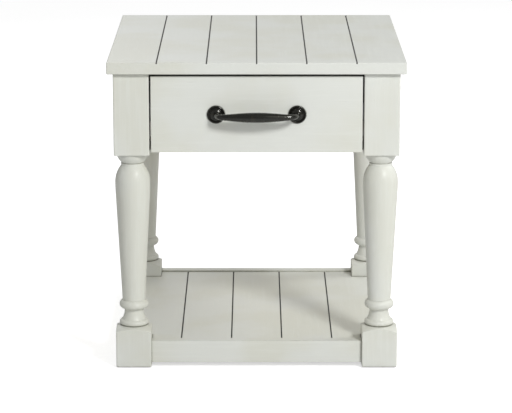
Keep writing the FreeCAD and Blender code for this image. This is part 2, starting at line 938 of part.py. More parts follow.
# A bolt crosses each corner block at right angles to its face and runs into the leg's inner corner.
bolts = []
block_depth = "(corner_block_reach - apron_inner_x + leg_inner_x) * sqrt(0.5)"
for ending, side in LEFT_RIGHT:
    seat = (
        f"{side} * (apron_inner_x + leg_inner_x - corner_block_reach) / 2",
        "(apron_inner_y + leg_inner_y - corner_block_reach) / 2",
        "(spacer_top + cleat_bottom) / 2",
    )
    heading = (float(side), 1, 0)
    bolts.append(fastener(f"corner_bolt_{ending}", seat, heading, "bolt", f"{block_depth} + bolt_bite"))
corner_bolts = keep("corner_block_bolts", group("corner_bolts_group", bolts))

case_screws = []
drawer_screws = []
slide_screw_length = "slide_metal + slide_screw_bite"
for ending, side in LEFT_RIGHT:
    for number, along in enumerate((0.06, 0.5, 0.9), 1):
        y = f"slide_low + slide_length * {along}"
        on_case = (f"{side} * (leg_inner_x - slide_metal)", y, "front_middle")
        on_drawer = (f"{side} * (box_half + slide_metal)", y, "front_middle")
        outwards = (float(side), 0, 0)
        inwards = (-float(side), 0, 0)
        case_screws.append(
            fastener(f"case_screw_{ending}_{number}", on_case, outwards, "slide_screw", slide_screw_length)
        )
        drawer_screws.append(
            fastener(f"drawer_screw_{ending}_{number}", on_drawer, inwards, "slide_screw", slide_screw_length)
        )
slide_screws_case = keep("slide_screws_case", group("slide_screws_case_group", case_screws))
slide_screws_drawer = keep("slide_screws_drawer", group("slide_screws_drawer_group", drawer_screws))

inside_box_front = "front_back + box_wall"
pull_screw_length = "box_wall + front_thickness + rosette_thickness + pull_screw_bite"
pull_screw_list = []
for ending, side in LEFT_RIGHT:
    point = (f"{side} * pull_half", inside_box_front, "front_middle")
    pull_screw_list.append(fastener(f"pull_screw_{ending}", point, FORWARD, "pull_screw", pull_screw_length))
pull_screws = keep("pull_screws", group("pull_screws_group", pull_screw_list))

front_screw_list = []
for number, x in enumerate(("-box_inner * 0.85", "0", "box_inner * 0.85"), 1):
    point = (x, inside_box_front, "front_middle")
    length = "box_wall + wood_screw_bite"
    front_screw_list.append(fastener(f"front_screw_{number}", point, FORWARD, "wood_screw", length))
drawer_front_screws = keep("drawer_front_screws", group("drawer_front_screws_group", front_screw_list))

mortises = group("mortises", MORTISES)

# What each board loses: to the tenons of its neighbours, and to the fasteners that pass into it.
BITES = {
    "tabletop": [tabletop_screws],
    "front_rail_upper": [tabletop_screws],
    "top_cleat_left": [tabletop_screws],
    "top_cleat_right": [tabletop_screws],
    "top_cleat_back": [tabletop_screws],
    "shelf_panel": [shelf_screws],
    "corner_block_left": [corner_bolts],
    "corner_block_right": [corner_bolts],
    "slide_spacer_left": [slide_screws_case],
    "slide_spacer_right": [slide_screws_case],
    "leg_front_left": [mortises, slide_screws_case],
    "leg_front_right": [mortises, slide_screws_case],
    "leg_back_left": [mortises, corner_bolts],
    "leg_back_right": [mortises, corner_bolts],
    "slide_cabinet_left": [slide_screws_case],
    "slide_cabinet_right": [slide_screws_case],
    "slide_drawer_left": [slide_screws_drawer],
    "slide_drawer_right": [slide_screws_drawer],
    "drawer_side_left": [slide_screws_drawer],
    "drawer_side_right": [slide_screws_drawer],
    "drawer_box_front": [pull_screws, drawer_front_screws],
    "drawer_front": [pull_screws, drawer_front_screws],
    "pull_rosette_left": [pull_screws],
    "pull_rosette_right": [pull_screws],
    "pull_bar": [pull_screws],
}
for ending in ("front", "back", "left", "right"):
    BITES[f"shelf_cleat_{ending}"] = [shelf_screws]

pieces = {**frame_boards, **slides, **drawer_boards, "pull_bar": pull_bar()}
for ending, side in LEFT_RIGHT:
    pieces[f"pull_rosette_{ending}"] = rosette(ending, side)
for name, piece in pieces.items():
    keep(name, cut(name, piece, *BITES.get(name, [])))

# ---------------------------------------------------------------------------------------------------
# Glides under the feet, and bumpers that the closed drawer meets

glides = []
for row, side_y in (("front", "-1"), ("back", "1")):
    for ending, side in LEFT_RIGHT:
        glide = doc.addObject("Part::Cylinder", f"glide_{row}_{ending}")
        bind(glide, "Radius", "glide_radius")
        bind(glide, "Height", "glide_thickness")
        place(
            glide,
            f"{side} * (leg_outer_x - leg_square / 2)",
            f"{side_y} * (leg_outer_y - leg_square / 2)",
        )
        glides.append(glide)
keep("floor_glides", group("floor_glides_group", glides))

bumpers = []
for ending, side in LEFT_RIGHT:
    bumper = doc.addObject("Part::Cylinder", f"bumper_{ending}")
    bumper.Placement = FreeCAD.Placement(
        FreeCAD.Vector(), FreeCAD.Rotation(FreeCAD.Vector(0, 0, 1), FreeCAD.Vector(0, -1, 0))
    )
    bind(bumper, "Radius", "bumper_radius")
    bind(bumper, "Height", "rail_setback")
    place(bumper, f"{side} * box_inner", "rail_front", "frame_top - rail_thickness / 2")
    bumpers.append(bumper)
keep("drawer_bumpers", group("drawer_bumpers_group", bumpers))

# ---------------------------------------------------------------------------------------------------
# Check every object, then write each piece

doc.recompute()
for thing in doc.Objects:
    if "Invalid" in thing.State or "Error" in thing.State:
        raise RuntimeError(f"{thing.Name} failed: {thing.State}")
for name, thing in NODES.items():
    if thing.Shape.isNull() or not thing.Shape.isValid() or not thing.Shape.Solids:
        raise RuntimeError(f"{name} has no valid shape")

os.makedirs("parts", exist_ok=True)
for name, thing in NODES.items():
    thing.Shape.exportStep(f"parts/{name}.step")
print(len(NODES), "pieces written")
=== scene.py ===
# %% [markdown]
# # A painted side table with one drawer
#
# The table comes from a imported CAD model: fifty separate pieces of wood, metal and plastic, each at
# its true size, in metres, with +Z up and the drawer opening towards -Y. This script never moves
# them. It gives every piece a finish, builds finer versions of the pieces that carry the look, and
# sets up a plain studio to see it all in.

# %% Load the model
import math

import bmesh
import bpy
from mathutils import Matrix, Vector


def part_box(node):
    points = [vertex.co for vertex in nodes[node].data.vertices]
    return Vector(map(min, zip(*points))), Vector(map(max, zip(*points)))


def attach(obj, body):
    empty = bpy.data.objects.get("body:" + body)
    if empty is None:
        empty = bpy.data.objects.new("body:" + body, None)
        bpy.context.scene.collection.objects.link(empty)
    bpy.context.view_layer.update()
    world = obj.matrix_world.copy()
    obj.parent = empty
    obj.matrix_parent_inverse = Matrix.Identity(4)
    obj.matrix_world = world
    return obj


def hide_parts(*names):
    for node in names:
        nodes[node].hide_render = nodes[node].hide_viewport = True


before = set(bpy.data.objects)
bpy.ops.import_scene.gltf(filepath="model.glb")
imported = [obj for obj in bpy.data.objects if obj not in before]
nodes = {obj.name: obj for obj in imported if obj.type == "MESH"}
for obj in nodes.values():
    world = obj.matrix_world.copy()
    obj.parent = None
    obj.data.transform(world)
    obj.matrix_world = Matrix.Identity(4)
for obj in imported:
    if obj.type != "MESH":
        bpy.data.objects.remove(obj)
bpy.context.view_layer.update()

# %% [markdown]
# ## Reading sizes from the model
#
# A place that this script needs is read from a piece's box, so a changed model carries the looks
# with it. `box` gives a piece's low and high corners, and `middle` its centre.

# %% Places worked out from the model


def box(name):
    low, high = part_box(name)
    return Vector(low), Vector(high)


def middle(name):
    low, high = box(name)
    return (low + high) / 2


top_low, top_high = box("tabletop")
table_height = top_high.z
front_low = box("drawer_front")[0]
print("height:", round(table_height, 4), "drawer face at y:", round(front_low.y, 4))

# %% [markdown]
# ## The studio
#
# Pale furniture wants a pale floor that fades into the background, and soft lights. The key light
# stands high at the front right: it draws the bright streaks down the right shoulders of the turned
# legs, and throws the pull's shadow down and to the left. A weak light from the left keeps the shaded
# sides readable. One from the right reaches under the top, so the shelf is bright on the right and
# falls into shade on the left, and one from behind lights the back.
#
# The world looks white but lights the table much less than that, or every hollow would wash out. The
# floor glows a little where the camera looks straight at it, so it meets the world almost without a
# line, and the glow throws no light on the table from below.

# %% Floor, world and lights

FLOOR_HALF_WIDTH = 30.0
FLOOR_GLOW = 0.62
WORLD_LIGHT = 0.38
WORLD_SEEN = 1.0
# Each light: its place, its width and its power in watts.
LIGHTS = {
    "key": ((1.7, -3.0, 2.5), 0.8, 97),
    "fill": ((-2.4, -2.2, 1.2), 1.6, 2),
    "side": ((2.3, 0.7, 2.5), 1.2, 30),
    "rear": ((-0.8, 2.8, 2.2), 1.6, 18),
}


def new_object(name, mesh):
    thing = bpy.data.objects.new(name, mesh)
    bpy.context.scene.collection.objects.link(thing)
    return thing


def make_floor():
    """A wide matt floor under the table."""
    mesh = bpy.data.meshes.new("studio_floor")
    signs = [(-1, -1), (1, -1), (1, 1), (-1, 1)]
    corners = [(x * FLOOR_HALF_WIDTH, y * FLOOR_HALF_WIDTH, 0) for x, y in signs]
    mesh.from_pydata(corners, [], [(0, 1, 2, 3)])
    material = bpy.data.materials.new("studio_floor")
    material.use_nodes = True
    tree = material.node_tree
    shader = tree.nodes["Principled BSDF"]
    shader.inputs["Base Color"].default_value = (0.82, 0.82, 0.82, 1)
    shader.inputs["Roughness"].default_value = 0.9
    shader.inputs["Specular IOR Level"].default_value = 0.1
    shader.inputs["Emission Color"].default_value = (1, 1, 1, 1)
    seen = tree.nodes.new("ShaderNodeLightPath")
    glow = tree.nodes.new("ShaderNodeMath")
    glow.operation = "MULTIPLY"
    glow.inputs[1].default_value = FLOOR_GLOW
    tree.links.new(seen.outputs["Is Camera Ray"], glow.inputs[0])
    tree.links.new(glow.outputs[0], shader.inputs["Emission Strength"])
    mesh.materials.append(material)
    floor = new_object("studio_floor", mesh)


def aim(thing, target):
    thing.rotation_euler = (Vector(target) - thing.location).to_track_quat("-Z", "Y").to_euler()


def area_light(name, place, width, power):
    """A round light that looks at the middle of the table."""
    data = bpy.data.lights.new(name, "AREA")
    data.shape = "DISK"
    data.size = width
    data.energy = power
    light = new_object(name, data)
    light.location = place
    aim(light, (0.0, 0.0, table_height / 2))


def make_world():
    """A white surrounding that lights the table less than it shows behind it."""
    world = bpy.data.worlds.new("studio")
    world.use_nodes = True
    tree = world.node_tree
    background = tree.nodes["Background"]
    background.inputs["Color"].default_value = (1.0, 1.0, 1.0, 1)
    seen = tree.nodes.new("ShaderNodeLightPath")
    choose = tree.nodes.new("ShaderNodeMapRange")
    choose.inputs["To Min"].default_value = WORLD_LIGHT
    choose.inputs["To Max"].default_value = WORLD_SEEN
    tree.links.new(seen.outputs["Is Camera Ray"], choose.inputs["Value"])
    tree.links.new(choose.outputs[0], background.inputs["Strength"])
    bpy.context.scene.world = world


make_floor()
make_world()
for name, (place, width, power) in LIGHTS.items():
    area_light(name, place, width, power)
bpy.context.scene.view_settings.view_transform = "Standard"

# %% [markdown]
# ## The camera
#
# The table is seen from straight ahead and a little above, from about four and a half metres
# with a long lens, so that upright edges stay nearly parallel. The camera stands above the table
# and looks down at its front, a little higher than half way up.

# %% Camera

CAMERA_HEIGHT = 1.395
CAMERA_DISTANCE = 4.6
CAMERA_ACROSS = -0.005
AIM_ACROSS = -0.0012
AIM_HEIGHT = 0.329
SENSOR_WIDTH = 36
LENS = 172

camera_data = bpy.data.cameras.new("camera")
camera_data.sensor_width = SENSOR_WIDTH
camera_data.lens = LENS
camera = new_object("camera", camera_data)
camera.location = (CAMERA_ACROSS, top_low.y - CAMERA_DISTANCE, CAMERA_HEIGHT)
aim(camera, (AIM_ACROSS, top_low.y, AIM_HEIGHT))
bpy.context.scene.camera = camera
print("camera at:", [round(part, 3) for part in camera.location], "lens:", camera_data.lens)

# %% [markdown]
# ## Building materials from nodes
#
# Every finish below is a small network of nodes on one Principled shader. `Recipe` keeps the
# writing short: it adds a node, links an output or sets a plain value, and returns the output.
# Patterns read Object coordinates, which here are metres in the table's own frame.

# %% A short way to write node networks


class Recipe:
    def __init__(self, name):
        self.material = bpy.data.materials.new(name)
        self.material.use_nodes = True
        self.tree = self.material.node_tree
        self.shader = self.tree.nodes["Principled BSDF"]
        self.place = self.tree.nodes.new("ShaderNodeTexCoord").outputs["Object"]

    def put(self, socket, value):
        """Link an output to a socket, or set the socket's plain value."""
        if isinstance(value, bpy.types.NodeSocket):
            self.tree.links.new(value, socket)
        else:
            socket.default_value = value

    def node(self, kind, inputs=(), **settings):
        made = self.tree.nodes.new(kind)
        for key, value in settings.items():
            setattr(made, key, value)
        for key, value in dict(inputs).items():
            self.put(made.inputs[key], value)
        return made

    def math(self, operation, a, b=0.0):
        return self.node("ShaderNodeMath", {0: a, 1: b}, operation=operation).outputs[0]

    def stretched(self, scale):
        return self.node("ShaderNodeMapping", {"Vector": self.place, "Scale": scale}).outputs[0]

    def noise(self, size, detail=4.0, roughness=0.55, scale=(1, 1, 1), distortion=0.0):
        """Noise whose features are about one size, in metres, stretched by a scale on each axis."""
        inputs = {
            "Vector": self.stretched(scale),
            "Scale": 1 / size,
            "Detail": detail,
            "Roughness": roughness,
            "Distortion": distortion,
        }
        return self.node("ShaderNodeTexNoise", inputs).outputs[0]

    def between(self, value, low, high, out_low=0.0, out_high=1.0):
        """A smooth step: one number up to `low`, another from `high` on."""
        inputs = {
            "Value": value,
            "From Min": low,
            "From Max": high,
            "To Min": out_low,
            "To Max": out_high,
        }
        return self.node("ShaderNodeMapRange", inputs, interpolation_type="SMOOTHSTEP").outputs[0]

    def mix(self, factor, a, b):
        made = self.node("ShaderNodeMix", data_type="RGBA")
        self.put(made.inputs["Factor"], factor)
        self.put(made.inputs["A"], a)
        self.put(made.inputs["B"], b)
        return made.outputs["Result"]

    def hollow(self, distance):
        """1 in the open, down to 0 where other surfaces stand closer than a distance."""
        inputs = {"Distance": distance}
        made = self.node("ShaderNodeAmbientOcclusion", inputs, samples=8, only_local=False)
        return made.outputs["AO"]

    def edges(self, radius):
        """The normal of softened edges, and how far it leans from the real one: 0 on a flat face."""
        soft = self.node("ShaderNodeBevel", {"Radius": radius}, samples=4).outputs["Normal"]
        real = self.node("ShaderNodeNewGeometry").outputs["Normal"]
        alike = self.node("ShaderNodeVectorMath", {0: soft, 1: real}, operation="DOT_PRODUCT")
        return soft, self.math("SUBTRACT", 1.0, alike.outputs["Value"])

    def bump(self, height, depth, strength=1.0, normal=None):
        made = self.node("ShaderNodeBump", {"Height": height, "Distance": depth, "Strength": strength})
        if normal:
            self.put(made.inputs["Normal"], normal)
        return made.outputs["Normal"]

    def finish(self, **sockets):
        """Set the shader's own sockets; an underscore in a name stands for a space."""
        for key, value in sockets.items():
            self.put(self.shader.inputs[key.replace("_", " ")], value)
        return self.material


def colour(red, green, blue):
    """A colour given as it looks on screen, turned into the light that Blender mixes."""
    return tuple(((part / 255 + 0.055) / 1.055) ** 2.4 for part in (red, green, blue)) + (1.0,)


# %% [markdown]
# ## Antique white paint
#
# The real finish is a warm greyish white lacquer over wood, with a brown-green glaze wiped over it.
# The glaze stays behind in the pores and corners and is rubbed off the faces, so a face is never one
# flat colour: broad cloudy patches drift between a cool and a warm white, fine streaks follow the
# grain, a few pores are darker, and the film has a slight pull of the brush in it. The same recipe
# serves every painted piece. Only the direction of the grain differs, so it is an input.
#
# The glaze gathers where the wiping rag doesn't reach. These are also the places that lie in shade,
# so their darkening is partly glaze and partly painted shade. `hollow` finds those places with the
# Ambient Occlusion node, which looks only at the shape, so they are the same from everywhere. It is
# used at two sizes: glaze and painted shade in the corners, a thin dark line of glaze and painted
# shade in the seams, and near black painted shade in the gaps.
#
# Hands and cloths rub the paint thin along the edges. The Bevel node bends the normal near an edge,
# so where it leans away from the real one there is an edge, and a noise leaves the wear patchy. The
# same bent normal rounds the edges of the boards, which catch a thin line of light.

# %% Paint

PAINT_COOL = colour(214, 216, 210)
PAINT_WARM = colour(210, 211, 201)
PAINT_LIGHT = colour(222, 224, 218)
# The glaze's colour, which also serves as painted shade in corners and seams.
GLAZE_AND_SHADE = colour(104, 103, 82)
# Painted shade: near black, for the gaps between parts.
GAP_SHADE = colour(34, 34, 24)
PORE = colour(152, 151, 133)
EDGE_WEAR = colour(166, 160, 138)
GRAIN_STRETCH = 0.06
CLOUD_SIZE = 0.16
STREAK_SIZE = 0.006
PORE_SIZE = 0.0022
SPECK_SIZE = 0.03
CORNER_REACH = 0.012
SEAM_REACH = 0.004
EDGE_RADIUS = 0.0012


def along(axis, stretch):
    """A scale that draws a pattern out along one axis."""
    scale = [1.0, 1.0, 1.0]
    scale[axis] = stretch
    return scale


def paint(name, grain_axis, grooves=None):
    """Glazed, rubbed white paint, with painted shade in its hollows and, where `grooves` is given, its
    grooves.
    """
    recipe = Recipe(name)
    long_way = along(grain_axis, GRAIN_STRETCH)
    clouds = recipe.noise(CLOUD_SIZE, 3, 0.5)
    streaks = recipe.noise(STREAK_SIZE, 5, 0.6, long_way, 0.3)
    pores = recipe.noise(PORE_SIZE, 3, 0.7, long_way)
    specks = recipe.noise(SPECK_SIZE, 6, 0.75)
    base = recipe.mix(recipe.between(clouds, 0.38, 0.62), PAINT_COOL, PAINT_WARM)
    base = recipe.mix(recipe.between(streaks, 0.45, 0.75, 0.0, 0.32), base, PAINT_LIGHT)
    base = recipe.mix(recipe.between(pores, 0.66, 0.8, 0.0, 0.28), base, PORE)
    corner = recipe.hollow(CORNER_REACH)
    seam = recipe.hollow(SEAM_REACH)
    patchy = recipe.between(specks, 0.3, 0.7, 0.55, 1.0)
    # Glaze and painted shade together: corners and seams darken towards the glaze colour by how hidden
    # they are.
    corner_glaze_and_shade = recipe.math("MULTIPLY", recipe.between(corner, 0.2, 0.8, 0.5, 0.0), patchy)
    base = recipe.mix(corner_glaze_and_shade, base, GLAZE_AND_SHADE)
    seam_glaze_and_shade = recipe.math("MULTIPLY", recipe.between(seam, 0.34, 0.84, 0.95, 0.0), patchy)
    base = recipe.mix(seam_glaze_and_shade, base, GLAZE_AND_SHADE)
    # Painted shade: near black where other surfaces stand very close, as in the gaps between parts.
    base = recipe.mix(recipe.between(corner, 0.14, 0.36, 0.97, 0.0), base, GAP_SHADE)
    soft_edge, lean = recipe.edges(EDGE_RADIUS)
    on_edge = recipe.between(lean, 0.01, 0.12)
    rubbed = recipe.math("MULTIPLY", on_edge, recipe.between(specks, 0.44, 0.6))
    base = recipe.mix(recipe.math("MULTIPLY", rubbed, 0.5), base, EDGE_WEAR)
    if grooves:
        # Painted shade: the grooves are painted nearly black.
        base = recipe.mix(groove_shade_mask(recipe, *grooves), base, GROOVE_SHADE)
    film = recipe.bump(streaks, 0.0004, 0.5, soft_edge)
    film = recipe.bump(clouds, 0.004, 0.15, film)
    return recipe.finish(
        Base_Color=base,
        Roughness=recipe.between(streaks, 0.3, 0.7, 0.46, 0.58),
        Normal=film,
        Specular_IOR_Level=0.36,
        Coat_Weight=0.2,
        Coat_Roughness=0.27,
    )


print("paint colours:", [round(part, 3) for part in PAINT_COOL[:3]])

# %% [markdown]
# ## Painted shade in the grooves of the top and the shelf
#
# The top is one panel. Its five V grooves are what make it look like six planks, and the shelf has
# four. The bottom of each V lies in shade, and that shade is painted into the colour there, nearly
# black, although the groove is only cut into the white panel. The grooves repeat at an even pitch, so
# one wrapped X coordinate finds the distance to the nearest of them, and the height tells the V's
# lower part from the face. Shade that is painted by place follows the real groove exactly.

# %% Painted shade in the grooves

# Painted shade: the nearly black colour put in the bottom of each groove.
GROOVE_SHADE = colour(10, 10, 6)
LINE_HALF_WIDTH = 0.0012
# The painted shade is let down to here, a little deeper than the bottom of the real grooves.
GROOVE_SHADE_BOTTOM = 0.0020
# The panel's side edges lie where a next groove would, so the painted shade stops this far before them.
EDGE_MARGIN = 0.010


def groove_shade_mask(recipe, pitch, offset, surface, reach):
    """1 in the grooves that lie a pitch apart in X, below a surface's height and within a reach."""
    x, _, z = recipe.node("ShaderNodeSeparateXYZ", {"Vector": recipe.place}).outputs
    half = pitch / 2
    wrapped = recipe.node("ShaderNodeMath", {0: recipe.math("SUBTRACT", x, offset), 1: -half, 2: half})
    wrapped.operation = "WRAP"
    near = recipe.math("ABSOLUTE", wrapped.outputs[0])
    inside = recipe.between(near, LINE_HALF_WIDTH, LINE_HALF_WIDTH + 0.00035, 1.0, 0.0)
    below = recipe.between(z, surface - 0.0004, surface - 0.00005, 1.0, 0.0)
    upper = recipe.between(z, surface - GROOVE_SHADE_BOTTOM - 0.001, surface - GROOVE_SHADE_BOTTOM, 0.0, 1.0)
    edge = reach - EDGE_MARGIN
    within = recipe.between(recipe.math("ABSOLUTE", x), edge - 0.002, edge, 1.0, 0.0)
    deep = recipe.math("MULTIPLY", below, upper)
    return recipe.math("MULTIPLY", recipe.math("MULTIPLY", inside, within), deep)


def plank_grooves(name, count, half_width):
    """Pitch, offset, height and reach of a panel's grooves, from its box and its plank count."""
    low, high = box(name)
    pitch = 2 * half_width / count
    return pitch, (half_width - pitch) % pitch, high.z, half_width


TOP_PLANKS = 6
SHELF_PLANKS = 5
shelf_half = box("stretcher_right")[0].x
top_grooves = plank_grooves("tabletop", TOP_PLANKS, top_high.x)
paint_top = paint("paint_top", 1, top_grooves)
paint_shelf = paint("paint_shelf", 1, plank_grooves("shelf_panel", SHELF_PLANKS, shelf_half))
paint_upright = paint("paint_upright", 2)
paint_sideways = paint("paint_sideways", 0)
paint_lengthways = paint("paint_lengthways", 1)
print("pitch of the top's grooves:", round(top_grooves[0], 5))

# %% [markdown]
# ## Dark bronze of the pull
#
# The pull is cast, plated and blackened until it is almost black, then lightly waxed. It shows
# mostly by its soft highlights. A fine noise roughens the cast skin, and a broad one lets a little
# brown bronze through where hands rub it. The metal stays a little short of fully metallic, because
# a blackened skin reflects less than bare metal does.

# %% Bronze, zinc, nylon and rubber

BRONZE_DARK = colour(27, 27, 20)
BRONZE_WORN = colour(50, 46, 34)


def bronze():
    recipe = Recipe("bronze")
    rubbed = recipe.noise(0.014, 4, 0.6)
    cast = recipe.noise(0.0012, 3, 0.6)
    base = recipe.mix(recipe.between(rubbed, 0.5, 0.75, 0.0, 0.7), BRONZE_DARK, BRONZE_WORN)
    return recipe.finish(
        Base_Color=base,
        Metallic=0.75,
        Roughness=recipe.between(rubbed, 0.3, 0.75, 0.32, 0.22),
        Normal=recipe.bump(cast, 0.0002, 0.3),
        Coat_Weight=0.7,
        Coat_Roughness=0.12,
    )


def zinc():
    """Zinc plate on pressed steel: grey crystals, drawn lines along the strip."""
    recipe = Recipe("zinc_plate")
    drawn = recipe.noise(0.0011, 3, 0.6, (1, 0.03, 1))
    bloom = recipe.noise(0.012, 4, 0.7)
    base = recipe.mix(recipe.between(bloom, 0.35, 0.7), colour(172, 174, 176), colour(196, 197, 196))
    return recipe.finish(
        Base_Color=base,
        Metallic=0.9,
        Roughness=recipe.between(bloom, 0.3, 0.7, 0.28, 0.42),
        Normal=recipe.bump(drawn, 0.0001, 0.3),
    )


def moulded(name, shade, other, roughness):
    """Nylon or rubber: a moulded skin, very slightly pitted and uneven in colour."""
    recipe = Recipe(name)
    pits = recipe.noise(0.0015, 3, 0.6)
    tone = recipe.noise(0.01, 3, 0.6)
    return recipe.finish(
        Base_Color=recipe.mix(recipe.between(tone, 0.35, 0.65), shade, other),
        Roughness=roughness,
        Normal=recipe.bump(pits, 0.0002, 0.4),
    )


bronze_metal = bronze()
zinc_metal = zinc()
nylon = moulded("nylon", colour(206, 203, 192), colour(194, 190, 178), 0.5)
rubber = moulded("rubber", colour(40, 40, 41), colour(56, 55, 54), 0.8)
print("metals:", bronze_metal.name, zinc_metal.name)

# %% [markdown]
# ## Bare wood inside the case
#
# Nobody paints the inside. The drawer box, the cleats and the corner blocks are plain pale hardwood
# with a clear sealer, and the drawer bottom is thin plywood. The grain is a noise that is very
# long along the board and short across it, and a second, broader one bends the year rings. Rings cut
# by a flat board look like a wave of that broad noise, so a sine of it draws the darker late wood.

# %% Bare wood

BOARD_STRETCH = 0.05
RINGS_IN_NOISE = 70.0


def bare_wood(name, grain_axis, light, dark, ring_size):
    recipe = Recipe(name)
    long_way = along(grain_axis, BOARD_STRETCH)
    broad = recipe.noise(ring_size, 2, 0.5, long_way, 0.4)
    fibres = recipe.noise(0.0016, 4, 0.7, long_way)
    waves = recipe.math("SINE", recipe.math("MULTIPLY", broad, RINGS_IN_NOISE))
    rings = recipe.between(waves, -0.6, 1.0)
    base = recipe.mix(recipe.math("MULTIPLY", rings, 0.55), light, dark)
    base = recipe.mix(recipe.between(fibres, 0.5, 0.75, 0.0, 0.5), base, dark)
    return recipe.finish(
        Base_Color=base,
        Roughness=recipe.between(fibres, 0.3, 0.7, 0.5, 0.64),
        Normal=recipe.bump(fibres, 0.0003, 0.5),
        Specular_IOR_Level=0.35,
    )


WOOD_LIGHT = colour(222, 206, 178)
WOOD_DARK = colour(196, 174, 140)
PLY_LIGHT = colour(216, 199, 168)
PLY_DARK = colour(194, 171, 136)
wood_sideways = bare_wood("wood_sideways", 0, WOOD_LIGHT, WOOD_DARK, 0.05)
wood_lengthways = bare_wood("wood_lengthways", 1, WOOD_LIGHT, WOOD_DARK, 0.05)
plywood = bare_wood("plywood", 0, PLY_LIGHT, PLY_DARK, 0.12)
print("woods:", wood_sideways.name, wood_lengthways.name, plywood.name)

# %% [markdown]
# ## Each piece gets its finish
#
# A board's grain runs along the board, so the finish is picked by the way that the piece runs. The
# aprons, stretchers and cleats called left and right run front to back. The list is read from the
# top and the first name that fits is used, so a special case stands above the general one.

# %% Finishes of the CAD pieces

FINISHES = [
    (("leg_",), paint_upright),
    (("tabletop",), paint_top),
    (("shelf_panel",), paint_shelf),
    (("drawer_front", "front_rail_", "apron_back", "stretcher_front", "stretcher_back"), paint_sideways),
    (("apron_", "stretcher_"), paint_lengthways),
    (("drawer_bottom",), plywood),
    (("drawer_bumpers",), rubber),
    (("floor_glides",), nylon),
    (("drawer_side", "slide_spacer", "shelf_cleat_left", "shelf_cleat_right"), wood_lengthways),
    (("top_cleat_left", "top_cleat_right"), wood_lengthways),
    (("drawer_", "shelf_cleat", "top_cleat", "corner_block_l", "corner_block_r"), wood_sideways),
    (("slide_", "corner_block_bolts"), zinc_metal),
    (("pull_bar", "pull_rosette"), bronze_metal),
]


def finish_of(name):
    """The first finish whose piece name fits; every screw is zinc plated."""
    if "screws" in name:
        return zinc_metal
    return next(material for starts, material in FINISHES if name.startswith(starts))


for name, node in nodes.items():
    node.data.materials.clear()
    node.data.materials.append(finish_of(name))
print("finished:", len(nodes), "pieces with", len({finish_of(name).name for name in nodes}), "finishes")

# %% [markdown]
# ## Handing over a finer piece
#
# Each piece that is built below stands in for a plain one of the model. It rides on the same body,
# so it moves with the drawer or stays with the frame, and it is named for what it replaces.

# %% A way to hand over a piece


def finish_piece(name, mesh, material, body, replaced):
    """Make a mesh a piece of the table: its finish, the body it rides on, what it replaces."""
    mesh.materials.clear()
    mesh.materials.append(material)
    piece = new_object(name, mesh)
    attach(piece, body)
    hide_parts(replaced)
    return piece


# %% [markdown]
# ## The pull: a turned and bent bar
#
# The bar of a cast pull has no straight part. It leaves each rosette as a round post, bends forward
# and inwards, bows out a little, and swells to its thickest in the middle where the fingers close
# on it. A curve with a thickness at each of its points says just that: the points give the line, the
# radii give the swell, and a round bevel makes the surface. The curve becomes a mesh at the end.

# %% Pull bar

bar_low, bar_high = box("pull_bar")
rosette_middle = middle("pull_rosette_left")
pull_half = -rosette_middle.x
pull_height = rosette_middle.z
post_foot = bar_high.y
middle_radius = (bar_high.z - bar_low.z) / 2
grip_radius = middle_radius * 1.07
end_radius = -pull_half - bar_low.x


def bar_line():
    """Points from the left rosette to the middle of the bar: across, outwards and thickness."""
    reach = post_foot - bar_low.y - grip_radius
    return [
        (-pull_half, 0.0, end_radius * 0.95),
        (-pull_half, 0.14 * reach, end_radius * 0.92),
        (-pull_half * 0.985, 0.36 * reach, end_radius * 0.88),
        (-pull_half * 0.955, 0.60 * reach, end_radius * 0.9),
        (-pull_half * 0.90, 0.82 * reach, end_radius * 0.95),
        (-pull_half * 0.81, 0.925 * reach, end_radius * 1.02),
        (-pull_half * 0.62, 0.955 * reach, end_radius * 1.27),
        (-pull_half * 0.40, 0.98 * reach, end_radius * 1.54),
        (-pull_half * 0.20, 0.995 * reach, middle_radius * 1.04),
        (0.0, reach, grip_radius),
    ]


def make_bar():
    """The bar as a mesh, drawn as a thick curve through the line's points and their mirror image."""
    left = bar_line()
    right = [(-across, out, radius) for across, out, radius in reversed(left[:-1])]
    curve = bpy.data.curves.new("pull_bar_line", "CURVE")
    curve.dimensions = "3D"
    curve.bevel_depth = 1.0
    curve.bevel_resolution = 10
    curve.use_fill_caps = True
    line = curve.splines.new("NURBS")
    line.points.add(len(left) + len(right) - 1)
    for point, (across, out, radius) in zip(line.points, left + right):
        point.co = (across, post_foot - out, pull_height, 1)
        point.radius = radius
    line.order_u = 4
    line.use_endpoint_u = True
    line.resolution_u = 8
    line.use_smooth = True
    drawn = new_object("pull_bar_curve", curve)
    evaluated = drawn.evaluated_get(bpy.context.evaluated_depsgraph_get())
    mesh = bpy.data.meshes.new_from_object(evaluated)
    bpy.data.objects.remove(drawn)
    mesh.name = "pull_bar_detail"
    return mesh


bar = finish_piece("pull_bar_detail", make_bar(), bronze_metal, "drawer", "pull_bar")
print("bar faces:", len(bar.data.polygons), "end radius:", round(end_radius, 5))

# %% [markdown]
# ## The rosettes
#
# A rosette is a round plate that hides the screw and spreads the pull's load. It is turned: a thin
# rim, a rolled ring, a hollow, and a dome that rises to meet the post. A lathe shape is drawn as
# half an outline and spun, with its poles closed, and its normals are worked out again afterwards,
# because spinning can leave a shape inside out. The same lathe makes the screws further down, where
# a ring may be pinched into a cross.

# %% Rosettes


def cross_share(angle):
    """How far a driver's cross reaches at an angle, as a share of its arms."""
    return 0.36 + 0.64 * abs(math.cos(2 * angle)) ** 3


